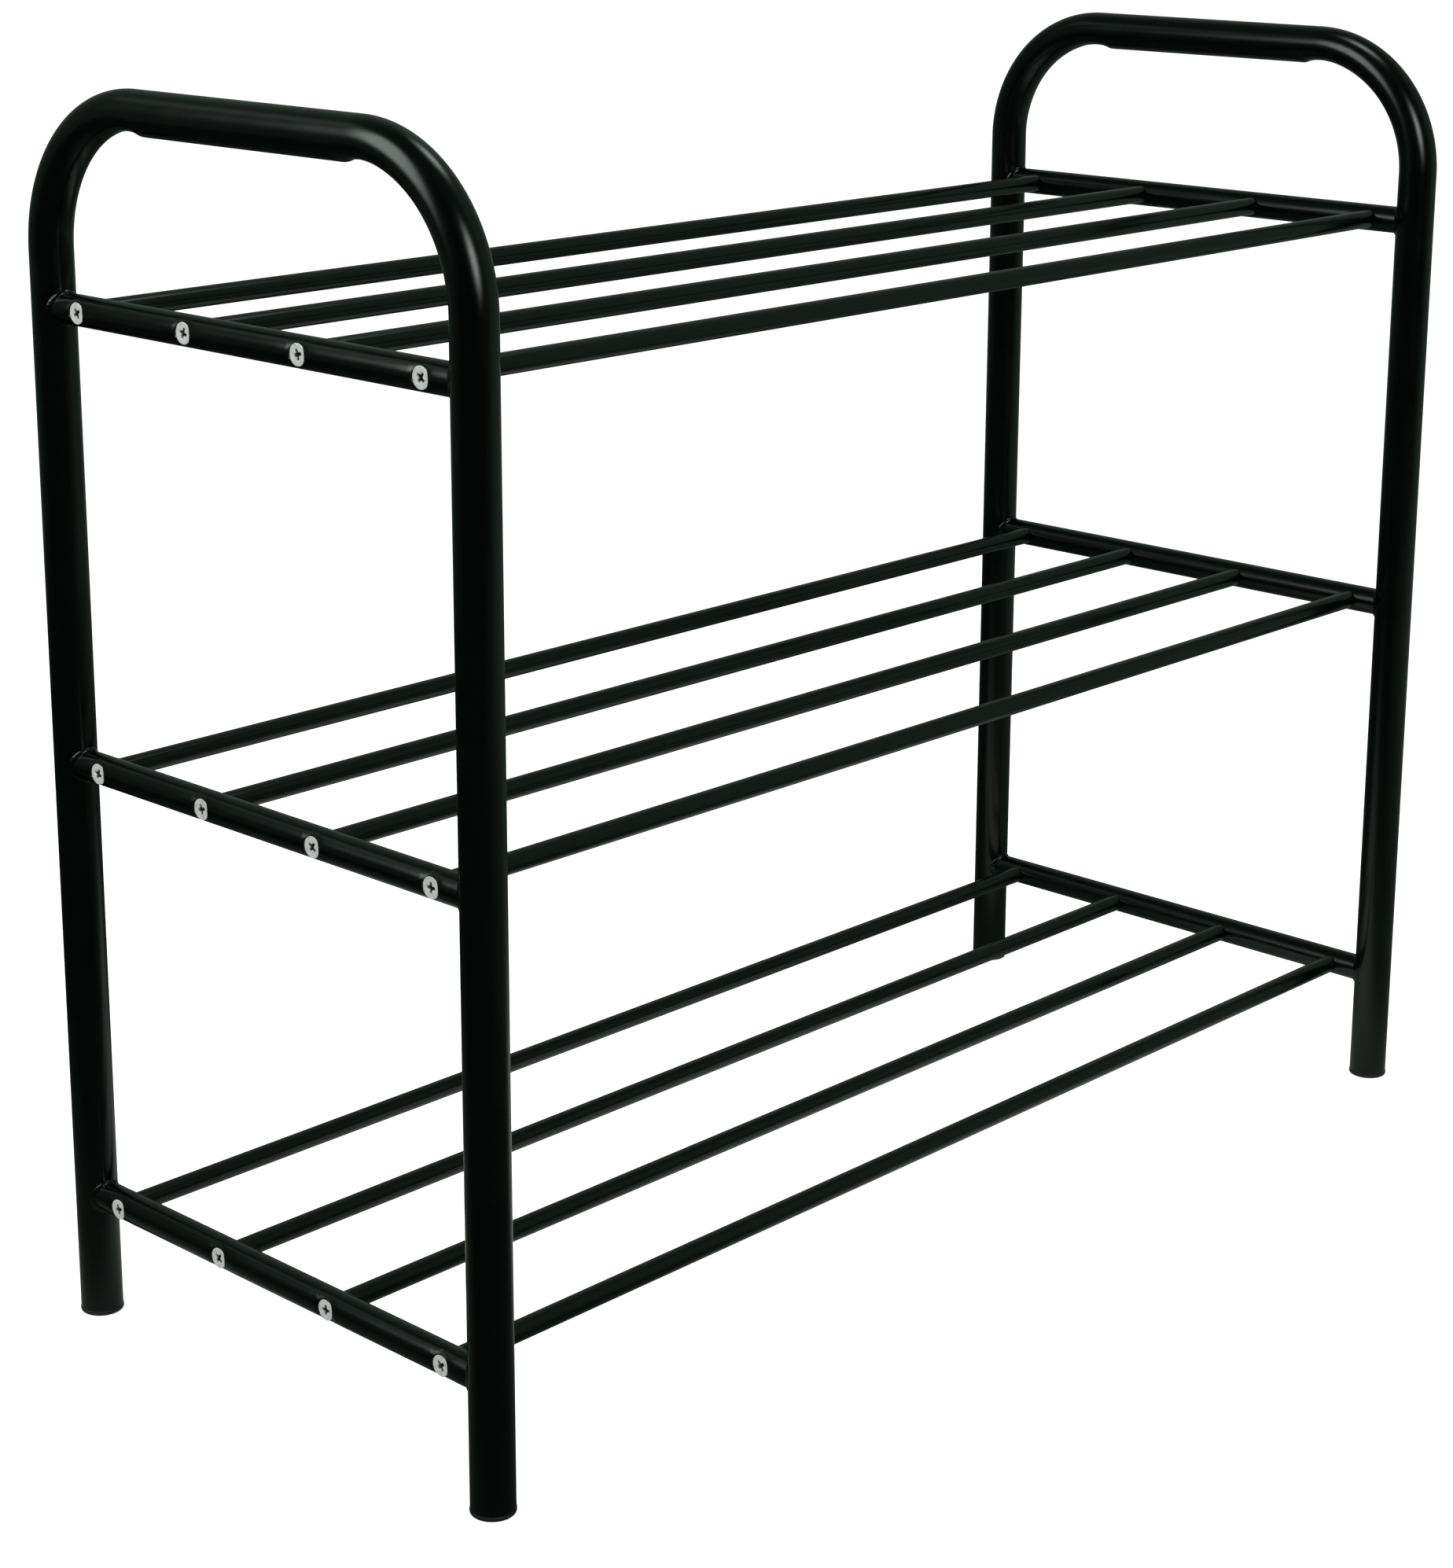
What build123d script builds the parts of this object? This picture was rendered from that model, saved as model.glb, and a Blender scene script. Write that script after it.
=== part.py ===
"""Three-tier shoe rack of painted steel tube.

Two tube hoops stand at the ends. Each carries three welded cross rails, and four bars per tier
run between the rails. A countersunk screw through the rail holds each bar end by its insert.

Frame: millimetres, +X along the shelves, +Y from the front to the back, +Z up. The origin is on
the floor, under the middle of the rack.
"""

from build123d import *
import os

# ---- driving dimensions ----
HOOP_SPACING = 645.0  # between the planes of the two hoops
LEG_SPACING = 264.0  # between the centre lines of a hoop's legs
HOOP_HEIGHT = 558.0  # floor to the top of the handle run
LEG_DIAMETER = 19.0
LEG_WALL = 1.0
BEND_RADIUS = 61.5  # centre line of a hoop's bends

DENT_DEPTH = 1.8  # how far the bending die has pushed in a bend's inner wall
DENT_HALF_ANGLE = 52.0  # of the tube's section, either side of the inner wall
DENT_LEAD = 9.0  # how far the dent reaches along the handle run
DENT_STEP = 5.0  # length over which it starts there
DENT_FADE = 12.0  # length over which it fades out on the leg

TIER_HEIGHTS = {"lower": 58.0, "middle": 262.0, "upper": 463.0}
RAIL_DIAMETER = 13.5
RAIL_WALL = 1.0

BARS_PER_TIER = 4
BAR_PITCH = 72.0
BAR_DIAMETER = 9.0
BAR_WALL = 0.8

WELD_SIZE = 1.3  # how far a bead reaches along the leg and along the rail
WELD_ROUND = 0.8

SCREW_DIAMETER = 4.9  # over the thread's crests
SCREW_LENGTH = 25.0
THREAD_LENGTH = 16.0
THREAD_PITCH = 0.8
THREAD_DEPTH = 0.45
POINT_LENGTH = 1.0
HEAD_DIAMETER = 9.2
HEAD_LAND = 0.3  # straight rim of the head, above its 90 degree cone
HEAD_EDGE = 0.12
HEAD_SINK = 0.9  # from the rail's outermost line down to the head's face
CROSS_SPAN = 4.9
CROSS_WIDTH = 1.1
CROSS_DEPTH = 2.4
CROSS_END_RADIUS = 1.0  # of the recess at its bottom
CROSS_TURN = 37.0  # each screw stopped at another angle

SCREW_HOLE = 5.4
SEAT_GAP = 0.1  # between the head's rim and its seat
SEAT_WALL = 1.2

INSERT_LENGTH = 18.0
INSERT_SET_BACK = 1.0
INSERT_BORE = 5.0
INSERT_MOUTH = 0.5

PLUG_DIAMETER = 19.4
PLUG_FLANGE = 2.2
PLUG_ROUND = 1.0
PLUG_STEM_LENGTH = 16.0
PLUG_WALL = 1.6
PLUG_BARBS = 3
PLUG_BARB_HEIGHT = 0.4
PLUG_BARB_LENGTH = 4.5

# ---- worked-out dimensions ----
HOOP_X = HOOP_SPACING / 2
LEG_Y = LEG_SPACING / 2
LEG_RADIUS = LEG_DIAMETER / 2
LEG_BORE_RADIUS = LEG_RADIUS - LEG_WALL
TOP_Z = HOOP_HEIGHT - LEG_RADIUS  # centre line of the handle run
BEND_Y = LEG_Y - BEND_RADIUS
BEND_Z = TOP_Z - BEND_RADIUS
RAIL_RADIUS = RAIL_DIAMETER / 2
BAR_RADIUS = BAR_DIAMETER / 2
BAR_BORE_RADIUS = BAR_RADIUS - BAR_WALL
BAR_YS = [(i - (BARS_PER_TIER - 1) / 2) * BAR_PITCH for i in range(BARS_PER_TIER)]
SHANK_RADIUS = SCREW_DIAMETER / 2
HEAD_RADIUS = HEAD_DIAMETER / 2
HEAD_FACE = RAIL_RADIUS - HEAD_SINK  # distance from the rail's axis
SEAT_RADIUS = HEAD_RADIUS + SEAT_GAP
SEAT_SINK = HEAD_LAND - SEAT_GAP  # from the head's face down to the mouth of its seat's cone
SIDES = {"left": -1, "right": 1}
ENDS = {"front": -1, "back": 1}


# ---- hoops ----
def tube_outline(radius, dent):
    """Section of the hoop's tube. Its inner wall, towards local +x, is pushed in by dent."""
    with BuildSketch() as outline:
        with BuildLine():
            back = CenterArc((0, 0), radius, DENT_HALF_ANGLE, 360 - 2 * DENT_HALF_ANGLE)
            ThreePointArc(back @ 1, (radius - dent, 0), back @ 0)
        make_face()
    return outline.sketch


def hoop_half(radius, end):
    """Rod along half of a hoop's centre line, from the middle of the handle run to a foot."""
    along_run = {"x_dir": (0, 0, -1), "z_dir": (0, end, 0)}
    dent_start = Plane((0, end * (BEND_Y - DENT_LEAD), TOP_Z), **along_run)
    dent_full = dent_start.offset(DENT_STEP)
    bend_start = dent_start.offset(DENT_LEAD)
    bend_end = Plane((0, end * LEG_Y, BEND_Z), x_dir=(0, -end, 0), z_dir=(0, 0, -1))
    dent_end = bend_end.offset(DENT_FADE)

    with BuildPart() as half:
        with BuildSketch(Plane((0, 0, TOP_Z), **along_run)):
            Circle(radius)
        extrude(amount=BEND_Y - DENT_LEAD)

        with BuildSketch(dent_start):
            add(tube_outline(radius, 0))
        with BuildSketch(dent_full):
            add(tube_outline(radius, DENT_DEPTH))
        loft()

        with BuildSketch(dent_full):
            add(tube_outline(radius, DENT_DEPTH))
        extrude(amount=DENT_LEAD - DENT_STEP)

        with BuildSketch(bend_start):
            add(tube_outline(radius, DENT_DEPTH))
        revolve(axis=Axis((0, end * BEND_Y, BEND_Z), (-end, 0, 0)), revolution_arc=90)

        with BuildSketch(bend_end):
            add(tube_outline(radius, DENT_DEPTH))
        with BuildSketch(dent_end):
            add(tube_outline(radius, 0))
        loft()

        with BuildSketch(dent_end):
            Circle(radius)
        extrude(amount=BEND_Z - DENT_FADE - PLUG_FLANGE)
    return half.part


def make_hoop(side):
    """One end hoop: a bent tube with both feet open."""
    place = Location((SIDES[side] * HOOP_X, 0, 0))
    with BuildPart() as hoop:
        for end in ENDS.values():
            add(hoop_half(LEG_RADIUS, end).moved(place))
        for end in ENDS.values():
            add(hoop_half(LEG_BORE_RADIUS, end).moved(place), mode=Mode.SUBTRACT)
    hoop.part.label = f"{side}_end_hoop"
    return hoop.part


# ---- rails and their welds ----
def screw_seat(side, tier, bar_y):
    """Plane of a screw head's face, looking out of the rack."""
    sign = SIDES[side]
    origin = (sign * (HOOP_X + HEAD_FACE), bar_y, TIER_HEIGHTS[tier])
    return Plane(origin, x_dir=(0, sign, 0), z_dir=(sign, 0, 0))


def rail_start(side, tier):
    """Plane across a rail, on the front leg's centre line."""
    origin = (SIDES[side] * HOOP_X, -LEG_Y, TIER_HEIGHTS[tier])
    return Plane(origin, x_dir=(1, 0, 0), z_dir=(0, 1, 0))


def leg_places(side, tier):
    """Where the two legs stand beside a rail."""
    x = SIDES[side] * HOOP_X
    return [(x, end * LEG_Y, TIER_HEIGHTS[tier]) for end in ENDS.values()]


def make_rail(side, tier):
    """One cross rail: coped to both legs, with a pressed screw seat for each bar."""
    seats = [screw_seat(side, tier, bar_y).offset(-SEAT_SINK) for bar_y in BAR_YS]
    seat_depth = SEAT_RADIUS - SCREW_HOLE / 2
    with BuildPart() as rail:
        with Locations(*seats):
            Cone(
                bottom_radius=SCREW_HOLE / 2 + SEAT_WALL,
                top_radius=SEAT_RADIUS + SEAT_WALL,
                height=seat_depth,
                align=(Align.CENTER, Align.CENTER, Align.MAX),
            )
        with BuildSketch(rail_start(side, tier)):
            Circle(RAIL_RADIUS)
        extrude(amount=LEG_SPACING, mode=Mode.INTERSECT)
        with BuildSketch(rail_start(side, tier)):
            Circle(RAIL_RADIUS)
            Circle(RAIL_RADIUS - RAIL_WALL, mode=Mode.SUBTRACT)
        extrude(amount=LEG_SPACING)
        with Locations(*seats):
            CounterSinkHole(SCREW_HOLE / 2, SEAT_RADIUS, RAIL_DIAMETER, counter_sink_angle=90)
        with Locations(*leg_places(side, tier)):
            Cylinder(LEG_RADIUS, LEG_DIAMETER, mode=Mode.SUBTRACT)
    rail.part.label = f"{side}_{tier}_rail"
    return rail.part


def is_bead_crest(edge, side, tier):
    """True for the outermost edges of a weld bead, away from both the rail and the legs."""
    point = edge @ 0.5
    off_rail = (point - Vector(SIDES[side] * HOOP_X, point.Y, TIER_HEIGHTS[tier])).length
    off_leg = min((point - Vector(x, y, point.Z)).length for x, y, _ in leg_places(side, tier))
    return off_rail > RAIL_RADIUS + WELD_ROUND and off_leg > LEG_RADIUS + WELD_ROUND


def make_welds(side, tier):
    """The two beads that join a rail to its legs, one round each end of the rail."""
    with BuildPart() as welds:
        with Locations(*leg_places(side, tier)):
            Cylinder(LEG_RADIUS + WELD_SIZE, 2 * LEG_DIAMETER)
        with BuildSketch(rail_start(side, tier)):
            Circle(RAIL_RADIUS + WELD_SIZE)
        extrude(amount=LEG_SPACING, mode=Mode.INTERSECT)
        with BuildSketch(rail_start(side, tier)):
            Circle(RAIL_RADIUS)
        extrude(amount=LEG_SPACING, mode=Mode.SUBTRACT)
        with Locations(*leg_places(side, tier)):
            Cylinder(LEG_RADIUS, 2 * LEG_DIAMETER, mode=Mode.SUBTRACT)
        fillet(welds.edges().filter_by(lambda edge: is_bead_crest(edge, side, tier)), WELD_ROUND)
    welds.part.label = f"{side}_{tier}_welds"
    return welds.part


# ---- shelf bars and the inserts pressed into their ends ----
def make_bar(tier, number):
    """One shelf bar: a thin tube with both ends shaped to the rails. Bar 1 is at the front."""
    bar_y = BAR_YS[number - 1]
    z = TIER_HEIGHTS[tier]
    with BuildPart() as bar:
        with BuildSketch(Plane((-HOOP_X, bar_y, z), x_dir=(0, 1, 0), z_dir=(1, 0, 0))):
            Circle(BAR_RADIUS)
            Circle(BAR_BORE_RADIUS, mode=Mode.SUBTRACT)
        extrude(amount=HOOP_SPACING)
        with Locations((-HOOP_X, bar_y, z), (HOOP_X, bar_y, z)):
            Cylinder(RAIL_RADIUS, BAR_PITCH, rotation=(90, 0, 0), mode=Mode.SUBTRACT)
    bar.part.label = f"{tier}_bar_{number}"
    return bar.part


def make_inserts(side, tier):
    """The threaded inserts that one rail's screws pull on."""
    set_back = HEAD_FACE + RAIL_RADIUS + INSERT_SET_BACK
    with BuildPart() as inserts:
        for bar_y in BAR_YS:
            with BuildSketch(screw_seat(side, tier, bar_y).offset(-set_back)):
                Circle(BAR_BORE_RADIUS)
                Circle(INSERT_BORE / 2, mode=Mode.SUBTRACT)
            extrude(amount=-INSERT_LENGTH)
        mouths = inserts.edges().filter_by(GeomType.CIRCLE).sort_by(SortBy.RADIUS)
        chamfer(mouths[: 2 * BARS_PER_TIER], INSERT_MOUTH)
    inserts.part.label = f"{side}_{tier}_inserts"
    return inserts.part


# ---- screws ----
def make_screw():
    """Countersunk cross-recess screw, head up, with its face on z = 0."""
    head_depth = HEAD_LAND + HEAD_RADIUS - SHANK_RADIUS
    thread_top = THREAD_LENGTH - SCREW_LENGTH
    root_radius = SHANK_RADIUS - THREAD_DEPTH
    turns = int((THREAD_LENGTH - POINT_LENGTH) / THREAD_PITCH)
    with BuildPart() as screw:
        with BuildSketch(Plane.XZ):
            with BuildLine():
                outline = [(0, 0), (HEAD_RADIUS - HEAD_EDGE, 0), (HEAD_RADIUS, -HEAD_EDGE)]
                outline += [(HEAD_RADIUS, -HEAD_LAND), (SHANK_RADIUS, -head_depth)]
                for turn in range(turns):
                    crest = thread_top - turn * THREAD_PITCH
                    outline += [(SHANK_RADIUS, crest), (root_radius, crest - THREAD_PITCH / 2)]
                outline += [(root_radius, -SCREW_LENGTH), (0, -SCREW_LENGTH)]
                Polyline(*outline, close=True)
            make_face()
        revolve(axis=Axis.Z)
        add(cross_recess(), mode=Mode.SUBTRACT)
    return screw.part


def cross_recess():
    """The space that a cross-point driver takes in a screw's head."""
    with BuildPart() as recess:
        with BuildSketch():
            Rectangle(CROSS_SPAN, CROSS_WIDTH)
            Rectangle(CROSS_WIDTH, CROSS_SPAN)
        extrude(amount=-CROSS_DEPTH)
        Cone(
            bottom_radius=CROSS_END_RADIUS,
            top_radius=CROSS_SPAN / 2,
            height=CROSS_DEPTH,
            align=(Align.CENTER, Align.CENTER, Align.MAX),
            mode=Mode.INTERSECT,
        )
    return recess.part


def make_screws(side, tier):
    """The screws of one rail, each turned to another angle."""
    first_turn = CROSS_TURN * (list(TIER_HEIGHTS).index(tier) + SIDES[side])
    with BuildPart() as screws:
        for number, bar_y in enumerate(BAR_YS):
            turn = Rotation(0, 0, first_turn + CROSS_TURN * number)
            add(SCREW.moved(screw_seat(side, tier, bar_y).location * turn))
    screws.part.label = f"{side}_{tier}_screws"
    return screws.part


# ---- feet ----
def make_foot_plug(side, end):
    """One plastic plug: a flange that is the foot, and a barbed hollow stem in the leg's bore."""
    floor = Plane((SIDES[side] * HOOP_X, ENDS[end] * LEG_Y, 0))
    flange_top = floor.offset(PLUG_FLANGE)
    stem_radius = LEG_BORE_RADIUS - PLUG_BARB_HEIGHT
    with BuildPart() as plug:
        with BuildSketch(floor):
            Circle(PLUG_DIAMETER / 2)
        extrude(amount=PLUG_FLANGE)
        fillet(plug.edges().group_by(Axis.Z)[0], PLUG_ROUND)
        with BuildSketch(flange_top):
            Circle(stem_radius)
        extrude(amount=PLUG_STEM_LENGTH)
        for barb in range(PLUG_BARBS):
            barb_foot = flange_top.offset(PLUG_BARB_LENGTH * (barb + 0.5))
            with BuildSketch(barb_foot):
                Circle(LEG_BORE_RADIUS)
            with BuildSketch(barb_foot.offset(PLUG_BARB_LENGTH)):
                Circle(stem_radius)
            loft()
        with BuildSketch(flange_top):
            Circle(stem_radius - PLUG_WALL)
        extrude(amount=PLUG_STEM_LENGTH, mode=Mode.SUBTRACT)
    plug.part.label = f"foot_plug_{side}_{end}"
    return plug.part


# ---- all pieces ----
SCREW = make_screw()

pieces = []
for side in SIDES:
    pieces.append(make_hoop(side))
    for tier in TIER_HEIGHTS:
        pieces.append(make_rail(side, tier))
        pieces.append(make_welds(side, tier))
        pieces.append(make_inserts(side, tier))
        pieces.append(make_screws(side, tier))
    for end in ENDS:
        pieces.append(make_foot_plug(side, end))
for tier in TIER_HEIGHTS:
    for number in range(1, BARS_PER_TIER + 1):
        pieces.append(make_bar(tier, number))

os.makedirs("parts", exist_ok=True)
for piece in pieces:
    export_step(piece, f"parts/{piece.label}.step")
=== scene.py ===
"""Looks of the three-tier shoe rack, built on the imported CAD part. Metres, in the part's own frame."""

import math
import random

import bmesh
import bpy
import numpy as np
from mathutils import Matrix, Vector


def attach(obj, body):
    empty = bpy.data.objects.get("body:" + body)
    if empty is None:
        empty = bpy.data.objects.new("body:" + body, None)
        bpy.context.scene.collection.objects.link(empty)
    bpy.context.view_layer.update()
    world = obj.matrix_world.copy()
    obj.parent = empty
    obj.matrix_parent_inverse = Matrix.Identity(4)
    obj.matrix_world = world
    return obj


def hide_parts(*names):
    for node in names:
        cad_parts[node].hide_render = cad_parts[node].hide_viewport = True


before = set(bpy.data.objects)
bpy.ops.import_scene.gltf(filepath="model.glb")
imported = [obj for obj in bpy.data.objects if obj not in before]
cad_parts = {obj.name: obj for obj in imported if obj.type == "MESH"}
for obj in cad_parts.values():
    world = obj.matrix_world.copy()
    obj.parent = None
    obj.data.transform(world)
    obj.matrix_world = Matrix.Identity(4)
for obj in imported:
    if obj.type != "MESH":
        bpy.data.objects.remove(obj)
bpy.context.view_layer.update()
MM = 0.001

# ---- dimensions repeated from the part, in millimetres ----
HOOP_X = 322.5
LEG_Y = 132.0
LEG_RADIUS = 9.5
LEG_WALL = 1.0
BEND_RADIUS = 61.5
TOP_Z = 548.5
BEND_Y = LEG_Y - BEND_RADIUS
BEND_Z = TOP_Z - BEND_RADIUS
TIERS = {"lower": 58.0, "middle": 262.0, "upper": 463.0}
RAIL_RADIUS = 6.75
RAIL_WALL = 1.0
BAR_YS = {1: -108.0, 2: -36.0, 3: 36.0, 4: 108.0}
BAR_RADIUS = 4.5
BAR_WALL = 0.8
HEAD_FACE = 5.85
SEAT_RADIUS = 4.7
SEAT_MOUTH = 5.65
WELD_SIZE = 1.3
PLUG_RADIUS = 9.7
PLUG_FLANGE = 2.2
PLUG_ROUND = 1.0
PLUG_STEM_LENGTH = 16.0
PLUG_STEM_RADIUS = 8.1
PLUG_WALL = 1.6
PLUG_BARBS = 3
PLUG_BARB_LENGTH = 4.5
SIDES = {"left": -1, "right": 1}
ENDS = {"front": -1, "back": 1}


# ---- mesh helpers ----
def fix_normals(mesh):
    """Turns all faces of a closed mesh to look outwards."""
    shell = bmesh.new()
    shell.from_mesh(mesh)
    bmesh.ops.recalc_face_normals(shell, faces=shell.faces)
    shell.to_mesh(mesh)
    shell.free()


def new_piece(name, verts, faces, material, node, sharp_angle):
    """A closed, smooth-shaded piece in metres, standing for one CAD node."""
    mesh = bpy.data.meshes.new(name)
    mesh.from_pydata([tuple(c * MM for c in v) for v in verts], [], faces)
    mesh.validate()
    mesh.shade_smooth()
    mesh.set_sharp_from_angle(angle=math.radians(sharp_angle))
    fix_normals(mesh)
    mesh.materials.append(material)
    piece = bpy.data.objects.new(name, mesh)
    bpy.context.scene.collection.objects.link(piece)
    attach(piece, "root")
    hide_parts(node)


def ring_angles(count):
    """Angles of a ring of count points."""
    return np.arange(count) * 2 * math.pi / count


def bridge(faces, a, b):
    """Adds quads between two loops of the same number of points."""
    for j in range(len(a)):
        n = (j + 1) % len(a)
        faces.append((a[j], a[n], b[n], b[j]))


def tube_faces(ring_count, ring_size, closed=True):
    """Quads between rings of ring_size points; closed also joins the last ring to the first."""
    faces = []
    for i in range(ring_count if closed else ring_count - 1):
        a, b = i * ring_size, (i + 1) % ring_count * ring_size
        bridge(faces, range(a, a + ring_size), range(b, b + ring_size))
    return faces


def capped_tube_faces(ring_count, ring_size, start=0):
    """Quads of an open tube whose points begin at start, and a face across each end."""
    faces = [tuple(start + v for v in f) for f in tube_faces(ring_count, ring_size, False)]
    last = start + (ring_count - 1) * ring_size
    faces.append(tuple(range(start, start + ring_size)))
    faces.append(tuple(range(last, last + ring_size)))
    return faces


# ---- materials ----
class Nodes:
    """Short ways to add and join shader nodes in one material or world."""

    def __init__(self, owner):
        owner.use_nodes = True
        self.tree = owner.node_tree
        self.tree.nodes.clear()

    def add(self, kind, inputs=None, **settings):
        node = self.tree.nodes.new(kind)
        for key, value in settings.items():
            setattr(node, key, value)
        for key, value in (inputs or {}).items():
            if isinstance(value, bpy.types.NodeSocket):
                self.tree.links.new(value, node.inputs[key])
            else:
                node.inputs[key].default_value = value
        return node

    def noise(self, coords, scale, detail=2.0, roughness=0.5, distortion=0.0):
        node = self.add(
            "ShaderNodeTexNoise",
            {
                "Vector": coords,
                "Scale": scale,
                "Detail": detail,
                "Roughness": roughness,
                "Distortion": distortion,
            },
        )
        return node.outputs["Fac"]

    def remap(self, value, low, high, to_low, to_high):
        node = self.add(
            "ShaderNodeMapRange",
            {
                "Value": value,
                "From Min": low,
                "From Max": high,
                "To Min": to_low,
                "To Max": to_high,
            },
        )
        return node.outputs["Result"]

    def ramp(self, value, stops):
        node = self.add("ShaderNodeValToRGB", {"Fac": value})
        elements = node.color_ramp.elements
        while len(elements) < len(stops):
            elements.new(0.5)
        for element, (position, colour) in zip(elements, stops):
            element.position = position
            element.color = (*colour, 1)
        return node.outputs["Color"]

    def mix(self, factor, colour, other):
        """Colour where factor is 0, and the other colour where it is 1."""
        node = self.add("ShaderNodeMix", data_type="RGBA")
        self.tree.links.new(factor, node.inputs["Factor"])
        self.tree.links.new(colour, node.inputs["A"])
        node.inputs["B"].default_value = (*other, 1)
        return node.outputs["Result"]

    def vector_math(self, operation, *values):
        return self.add("ShaderNodeVectorMath", dict(enumerate(values)), operation=operation)

    def bump(self, height, distance, strength=1.0, normal=None):
        inputs = {"Height": height, "Distance": distance, "Strength": strength}
        if normal is not None:
            inputs["Normal"] = normal
        return self.add("ShaderNodeBump", inputs).outputs["Normal"]

    def object_coords(self):
        return self.add("ShaderNodeTexCoord").outputs["Object"]

    def surface(self, shader):
        self.add("ShaderNodeOutputMaterial", {"Surface": shader.outputs[0]})


def powder_coat(name, peel_scale, peel_height, rough_low, rough_high):
    """Black powder coat: orange peel, fine grain, and slightly duller patches."""
    material = bpy.data.materials.new(name)
    n = Nodes(material)
    coords = n.object_coords()
    peel = n.noise(coords, peel_scale, detail=3.0, roughness=0.45)
    grain = n.noise(coords, peel_scale * 4.5, detail=2.0, roughness=0.6)
    patches = n.noise(coords, 38.0, detail=4.0, roughness=0.6, distortion=0.6)
    specks = n.noise(coords, 1500.0, detail=1.0)
    normal = n.bump(peel, peel_height)
    normal = n.bump(grain, peel_height * 0.3, normal=normal)
    colour = n.ramp(
        patches,
        [(0.35, (0.0003, 0.0011, 0.0008)), (0.7, (0.0005, 0.0016, 0.0012))],
    )
    speck_mask = n.ramp(specks, [(0.74, (0, 0, 0)), (0.80, (1, 1, 1))])
    specked = n.mix(speck_mask, colour, (0.004, 0.0052, 0.0048))
    roughness = n.remap(patches, 0.3, 0.7, rough_low, rough_high)
    shader = n.add(
        "ShaderNodeBsdfPrincipled",
        {
            "Base Color": specked,
            "Roughness": roughness,
            "Specular IOR Level": 0.5,
            "IOR": 1.5,
            "Normal": normal,
        },
    )
    n.surface(shader)
    return material


RECESS_SHADE_START = 0.1  # depths below a screw head's face between which painted shade darkens the zinc in the cross recess
RECESS_SHADE_FULL = 0.9


def zinc_plate():
    """Bright zinc plate: fine scratches, faint blotches, and painted shade down in the cross recess."""
    material = bpy.data.materials.new("zinc_plate")
    n = Nodes(material)
    coords = n.object_coords()
    blotches = n.noise(coords, 420.0, detail=3.0, roughness=0.6)
    scratches = n.noise(coords, 3200.0, detail=2.0, roughness=0.7)
    colour = n.ramp(
        blotches,
        [(0.3, (0.58, 0.60, 0.57)), (0.55, (0.80, 0.81, 0.79)), (0.75, (0.70, 0.70, 0.65))],
    )
    across = n.add("ShaderNodeSeparateXYZ", {"Vector": coords}).outputs["X"]
    outward = n.add("ShaderNodeMath", {0: across}, operation="ABSOLUTE").outputs["Value"]
    face = (HOOP_X + HEAD_FACE) * MM
    # painted shade: the zinc's colour turns near black with depth down in the cross recess
    recess_shade = n.remap(outward, face - RECESS_SHADE_FULL * MM, face - RECESS_SHADE_START * MM, 1.0, 0.0)
    shader = n.add(
        "ShaderNodeBsdfPrincipled",
        {
            "Base Color": n.mix(recess_shade, colour, (0.05, 0.055, 0.05)),
            "Metallic": 0.25,
            "Roughness": n.remap(blotches, 0.3, 0.7, 0.30, 0.44),
            "Normal": n.bump(scratches, 0.00003),
        },
    )
    n.surface(shader)
    return material


def turned_steel():
    """Plain machined steel of the inserts."""
    material = bpy.data.materials.new("turned_steel")
    n = Nodes(material)
    coords = n.object_coords()
    stretched = n.add("ShaderNodeMapping", {"Vector": coords, "Scale": (6.0, 1.0, 1.0)})
    rings = n.noise(stretched.outputs["Vector"], 900.0, detail=2.0)
    stains = n.noise(coords, 260.0, detail=3.0)
    shader = n.add(
        "ShaderNodeBsdfPrincipled",
        {
            "Base Color": n.ramp(stains, [(0.3, (0.34, 0.34, 0.33)), (0.7, (0.5, 0.5, 0.48))]),
            "Metallic": 1.0,
            "Roughness": n.remap(stains, 0.3, 0.7, 0.3, 0.5),
            "Normal": n.bump(rings, 0.00004),
        },
    )
    n.surface(shader)
    return material


def plug_plastic():
    """Moulded black polyethylene with a fine spark-eroded grain and a scuffed look."""
    material = bpy.data.materials.new("plug_plastic")
    n = Nodes(material)
    coords = n.object_coords()
    grain = n.noise(coords, 1900.0, detail=3.0, roughness=0.6)
    scuffs = n.noise(coords, 170.0, detail=5.0, roughness=0.7, distortion=0.8)
    shader = n.add(
        "ShaderNodeBsdfPrincipled",
        {
            "Base Color": n.ramp(
                scuffs, [(0.45, (0.006, 0.009, 0.008)), (0.72, (0.018, 0.021, 0.020))]
            ),
            "Roughness": n.remap(scuffs, 0.3, 0.7, 0.42, 0.58),
            "Specular IOR Level": 0.45,
            "Normal": n.bump(grain, 0.00004),
        },
    )
    n.surface(shader)
    return material


FRAME_PAINT = powder_coat("frame_paint", 620.0, 0.000008, 0.18, 0.22)
BAR_PAINT = powder_coat("bar_paint", 760.0, 0.000010, 0.19, 0.24)
WELD_PAINT = powder_coat("weld_paint", 520.0, 0.00003, 0.20, 0.28)
ZINC = zinc_plate()
STEEL = turned_steel()
PLASTIC = plug_plastic()

# ---- hoops ----
HOOP_RING = 96  # points round the tube
LEG_ROWS = 14
BEND_ROWS = 73
LEAD_ROWS = 24
RUN_ROWS = 9  # on half of the plain handle run
DENT_FADE = 14  # length of the close rows on the leg below the bend
DENT_LEAD = 9.0
DENT_ALONG = [  # distance past the dent's start on the handle run, and its depth
    (0.0, 0.0),
    (0.7, 0.12),
    (1.4, 0.42),
    (2.8, 0.9),
    (4.5, 1.3),
    (6.4, 1.6),
    (9.0, 1.75),
    (13.0, 1.8),
    (20.0, 1.75),
    (30.0, 1.3),
    (41.0, 0.95),
    (52.0, 0.75),
    (63.0, 0.55),
    (80.0, 0.35),
    (97.0, 0.25),
    (105.0, 0.15),
    (118.0, 0.0),
]


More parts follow.
